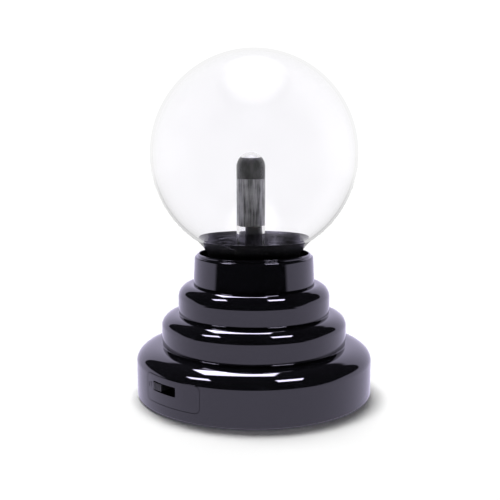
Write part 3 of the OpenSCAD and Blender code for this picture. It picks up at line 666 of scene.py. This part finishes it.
def wall_r(z):
    """Outer radius of the bottom tier at height z."""
    k = (z - BASE_EDGE_Z) / BASE_B
    return BASE_R if k <= 0 else MID_R + BASE_A * math.sqrt(max(0.0, 1 - k * k))


def wrapped(me, top):
    """Bends a mesh drawn flat in (depth, y, z) round the base wall at the switch; with top it
    also follows the start of the shoulder."""
    bm = bmesh.new()
    bm.from_mesh(me)
    planes = [((0, i * MM, 0), (0, 1, 0)) for i in range(-13, 21)]
    planes += [((0, 0, z * MM), (0, 0, 1))
               for z in (BASE_EDGE_Z, BASE_EDGE_Z + 0.3, BASE_EDGE_Z + 0.6)]
    for point, normal in planes:
        geom = bm.verts[:] + bm.edges[:] + bm.faces[:]
        bmesh.ops.bisect_plane(bm, geom=geom, plane_co=point, plane_no=normal, dist=1e-7)
    for v in bm.verts:
        depth, y, z = v.co.x / MM, v.co.y / MM, v.co.z / MM
        r = (wall_r(z) if top else BASE_R) + depth
        a = math.asin(max(-0.99, min(0.99, y / BASE_R)))
        v.co = Vector((r * math.cos(a), r * math.sin(a), z)) * MM
    bm.transform(AT_SWITCH)
    out = bpy.data.meshes.new(me.name)
    bm.to_mesh(out)
    bm.free()
    return out


def switch_plate():
    """The plate in its window, its backing behind the wall, and the raised O and I."""
    face = prism_mesh("switch_face", rounded_outline(PLATE_Y0, PLATE_Y1, PLATE_Z0, PLATE_Z1,
                                                     PLATE_ROUND), -PLATE_DEPTH, 0.0)
    slot = prism_mesh("slot", rounded_outline(-SLOT_L / 2, SLOT_L / 2, SWITCH_Z - SLOT_H / 2,
                                              SWITCH_Z + SLOT_H / 2, SLOT_ROUND, 4), -9, 2)
    face = bevelled(cut(face, slot), 0.16, 3)
    back = prism_mesh("switch_back", rounded_outline(PLATE_Y0 - 1, PLATE_Y1 + 1, PLATE_Z0 - 1,
                                                     PLATE_Z1 + 0.6, 3.0), -3.75, -2.45)
    back = cut(back, slot)
    ring = [(-MARK_DEPTH, y, z) for y, z in ellipse(MARK_O_Y, SWITCH_Z, 1.05, 1.2, 40)]
    bar = [(-MARK_DEPTH, MARK_I_Y, SWITCH_Z - 1.3 + 2.6 * i / 6) for i in range(7)]
    marks = [tube_mesh("mark_o", ring, MARK_R, 8, closed=True), tube_mesh("mark_i", bar, MARK_R, 8)]
    me = joined("switch_face", wrapped(face, True), wrapped(back, False),
                *[wrapped(m, True) for m in marks])
    add("switch_face", me, GLOSS, replaces=["switch_plate"])


def switch_knob():
    """The grooved cap and its stem, at the left end of the slot."""
    y0 = -KNOB_TRAVEL / 2
    w = KNOB_W / 2
    top = KNOB_FRONT
    out = [(KNOB_BACK, -w), (top, -w)]
    for k in GROOVES:
        out += [(top, k - 0.32), (top - GROOVE_DEPTH, k - 0.12), (top - GROOVE_DEPTH, k + 0.12),
                (top, k + 0.32)]
    out += [(top, w), (KNOB_BACK, w)]
    rings = [[(x, y + y0, z) for x, y in out]
             for z in (SWITCH_Z - KNOB_H / 2, SWITCH_Z + KNOB_H / 2)]
    cap = bevelled(solid_between("knob_cap", *rings), 0.14, 3)
    stem = prism_mesh("knob_stem", [(y0 - 1.8, SWITCH_Z - 1.3), (y0 + 1.8, SWITCH_Z - 1.3),
                                    (y0 + 1.8, SWITCH_Z + 1.3), (y0 - 1.8, SWITCH_Z + 1.3)],
                      41.5, 47.3)
    me = joined("knob_cap", cap, bevelled(stem, 0.1))
    me.transform(AT_SWITCH)
    add("knob_cap", me, KNOB, body="slide_knob", replaces=["switch_knob"])


# ---------------------------------------------------------------- glass and electrode


def flare(t):
    """Radius of the glass from the neck, t = 0, to the globe, t = 1."""
    return NECK_R + (JOIN_R - NECK_R) * t ** FLARE_POWER


def inset(points, distance):
    """The open profile moved inwards by distance, square to itself all along."""
    out = []
    n = len(points)
    for i, (r, z) in enumerate(points):
        a, b = points[max(0, i - 1)], points[min(n - 1, i + 1)]
        dr, dz = b[0] - a[0], b[1] - a[1]
        span = math.hypot(dr, dz)
        out.append((max(0.0, r - distance * dz / span), z + distance * dr / span))
    return out


def globe_side():
    """Outside of the glass from the foot of the neck to the crown."""
    t0 = math.degrees(math.asin((JOIN_Z - GLOBE_Z) / GLOBE_R))
    p = [(NECK_R, NECK_Z + 1.5)] + run((NECK_R, NECK_Z + 1.5), (NECK_R, FLARE_Z), 5)
    p += [(flare(i / 24), FLARE_Z + (JOIN_Z - FLARE_Z) * i / 24) for i in range(1, 24)]
    return p + arc(0, GLOBE_Z, GLOBE_R, GLOBE_R, t0, 90, 96)


def add_glass(name, me, replaces):
    """Glass casts no shadow and is left out of other pieces' reflections."""
    o = add(name, me, CLEAR, replaces=replaces, angle=60)
    o.visible_shadow = o.visible_diffuse = o.visible_glossy = False


def globe():
    side = globe_side()
    inner = inset(side, GLASS)[::-1]
    side[-1] = (0.0, GLOBE_Z + GLOBE_R)
    inner[0] = (0.0, GLOBE_Z + GLOBE_R - GLASS)
    foot = [(TUBE_HOLE_R, NECK_Z)]
    foot += run(foot[-1], (NECK_R - NECK_ROUND, NECK_Z), 3)
    foot += arc(NECK_R - NECK_ROUND, NECK_Z + NECK_ROUND, NECK_ROUND, NECK_ROUND, -90, 0, 6, False)
    inner.append((NECK_R - GLASS, NECK_Z + GLASS))
    inner += run(inner[-1], (TUBE_HOLE_R, NECK_Z + GLASS), 3)
    add_glass("globe_glass", lathe_mesh("globe_glass", foot + side + inner, 192), ["glass_globe"])


def liner():
    """Black coating on the inside of the neck glass, feathered at its upper edge."""
    side = [q for q in globe_side() if q[1] <= JOIN_Z + 0.01]
    outer = inset(side, GLASS - SINK)
    n = len(outer) - 1
    inner = []
    for i, (a, b) in enumerate(zip(outer, inset(side, GLASS - SINK + LINER))):
        k = 1 - 0.9 * (i / n) ** 3
        inner.append((a[0] + (b[0] - a[0]) * k, a[1] + (b[1] - a[1]) * k))
    add("neck_coating", lathe_mesh("neck_coating", outer + inner[::-1], 160), NECK,
        replaces=["neck_liner"])


def electrode_tube():
    outer = [(TUBE_R, NECK_Z)] + run((TUBE_R, NECK_Z), (TUBE_R, DOME_Z), 12)
    outer += arc(0, DOME_Z, TUBE_R, TUBE_R, 0, 90, 24, False)
    outer[-1] = (0.0, TUBE_TOP)
    inner = arc(0, DOME_Z, TUBE_INNER, TUBE_INNER, 90, 0, 24)
    inner += run((TUBE_INNER, DOME_Z), (TUBE_INNER, NECK_Z), 12)
    inner[0] = (0.0, DOME_Z + TUBE_INNER)
    add_glass("tube_glass", lathe_mesh("tube_glass", outer + inner, 96, (TUBE_X, 0.0)),
              ["electrode_tube"])


def electrode_band():
    """The dark band, domed like the tube and cut off level at its top."""
    last = math.degrees(math.asin(min(1.0, (BAND_TOP - DOME_Z) / FILL_R)))
    p = [(0.0, WOOL_Z1), (FILL_R, WOOL_Z1)] + run((FILL_R, WOOL_Z1), (FILL_R, DOME_Z), 4)
    p += arc(0, DOME_Z, FILL_R, FILL_R, 0, last, 10, False) + [(0.0, BAND_TOP)]
    add("dark_cap", lathe_mesh("dark_cap", p, 72, (TUBE_X, 0.0)), BAND,
        replaces=["electrode_band"])


def electrode_wool():
    """A plain core with loose strands on its surface."""
    core_top = WOOL_Z1 - 0.05
    core = [(0.0, WOOL_Z0), (FILL_R - 0.5, WOOL_Z0), (FILL_R, WOOL_Z0 + 0.4), (FILL_R, core_top),
            (0.0, core_top)]
    rnd = random.Random(STRAND_SEED)
    strands = [lathe_mesh("wool_core", core, 72, (TUBE_X, 0.0))]
    for _ in range(STRANDS):
        a = rnd.uniform(0, 2 * math.pi)
        z = rnd.uniform(WOOL_Z0, WOOL_Z1 - 4)
        length = rnd.uniform(4, 14)
        bend = rnd.uniform(-0.35, 0.35)
        pts = []
        for i in range(7):
            k = i / 6
            zz = min(WOOL_Z1 - 0.2, z + length * k)
            aa = a + bend * k + 0.05 * math.sin(9 * k + a)
            r = FILL_R - 0.03 + 0.04 * math.sin(5 * k + 3 * a)
            pts.append((TUBE_X + r * math.cos(aa), r * math.sin(aa), zz))
        strands.append(tube_mesh("strand", pts, rnd.uniform(0.05, 0.12), 5))
    add("wool_fill", joined("wool_fill", *strands), WOOL, replaces=["electrode_wool"])


def electrode_stem():
    stem = [(0.0, NECK_Z + 0.1), (STEM_R, NECK_Z + 0.1)]
    stem += run(stem[-1], (STEM_R, WOOL_Z0 - 0.5), 6)
    stem += arc(STEM_R - STEM_ROUND, WOOL_Z0 - 0.5, STEM_ROUND, STEM_ROUND, 0, 90, 5, False)
    stem.append((0.0, WOOL_Z0 - 0.05))
    add("stem_sleeve", lathe_mesh("stem_sleeve", stem, 64, (TUBE_X + STEM_SHIFT, 0.0)), NECK,
        replaces=["electrode_stem"])


# ---------------------------------------------------------------- springs and feet


def solids(name):
    """Lowest and highest corners in mm of each separate solid of a CAD node."""
    bm = bmesh.new()
    bm.from_mesh(NODES[name].data)
    todo, out = set(bm.verts), []
    while todo:
        stack, seen = [todo.pop()], []
        while stack:
            v = stack.pop()
            seen.append(v.co.copy() / MM)
            for e in v.link_edges:
                w = e.other_vert(v)
                if w in todo:
                    todo.discard(w)
                    stack.append(w)
        out.append(([min(c[k] for c in seen) for k in range(3)],
                    [max(c[k] for c in seen) for k in range(3)]))
    bm.free()
    return sorted(out)


def springs():
    """A tapering coil of wire in place of each solid spring."""
    wire_r, turns, steps, taper = 0.26, 5, 24, 0.4
    coils = []
    for low, high in solids("battery_springs"):
        size = [b - a for a, b in zip(low, high)]
        mid = [(a + b) / 2 for a, b in zip(low, high)]
        # the coil runs along the axis whose other two sides are most alike
        axis = min(range(3), key=lambda k: abs(size[(k + 1) % 3] - size[(k + 2) % 3]))
        side, other = (axis + 1) % 3, (axis + 2) % 3
        wide = min(size[side], size[other]) / 2 - wire_r
        narrow_last = mid[axis] < 0
        pts = []
        for i in range(turns * steps + 1):
            k = i / (turns * steps)
            a = 2 * math.pi * i / steps
            r = wide * (1 - taper * (k if narrow_last else 1 - k))
            q = [0.0, 0.0, 0.0]
            q[axis] = low[axis] + wire_r + (size[axis] - 2 * wire_r) * k
            q[side] = mid[side] + r * math.cos(a)
            q[other] = mid[other] + r * math.sin(a)
            pts.append(q)
        coils.append(tube_mesh("coil", pts, wire_r, 8))
    add("coil_springs", joined("coil_springs", *coils), NICKEL,
        replaces=["battery_springs"])


def feet():
    p = [(0.0, 0.0), (FOOT_FLAT, 0.0)]
    p += arc(FOOT_FLAT, FOOT_ROUND, FOOT_ROUND, FOOT_ROUND, -90, 0, 6, False)
    p += [(FOOT_R, FOOT_TOP), (0.0, FOOT_TOP)]
    meshes = [lathe_mesh("foot", p, 48, on_circle(FOOT_CIRCLE, k)) for k in FOOT_ANGLES]
    add("feet", joined("feet", *meshes), RUBBER, replaces=["rubber_feet"])


housing()
collar()
switch_plate()
switch_knob()
globe()
liner()
electrode_tube()
electrode_band()
electrode_wool()
electrode_stem()
feet()
springs()
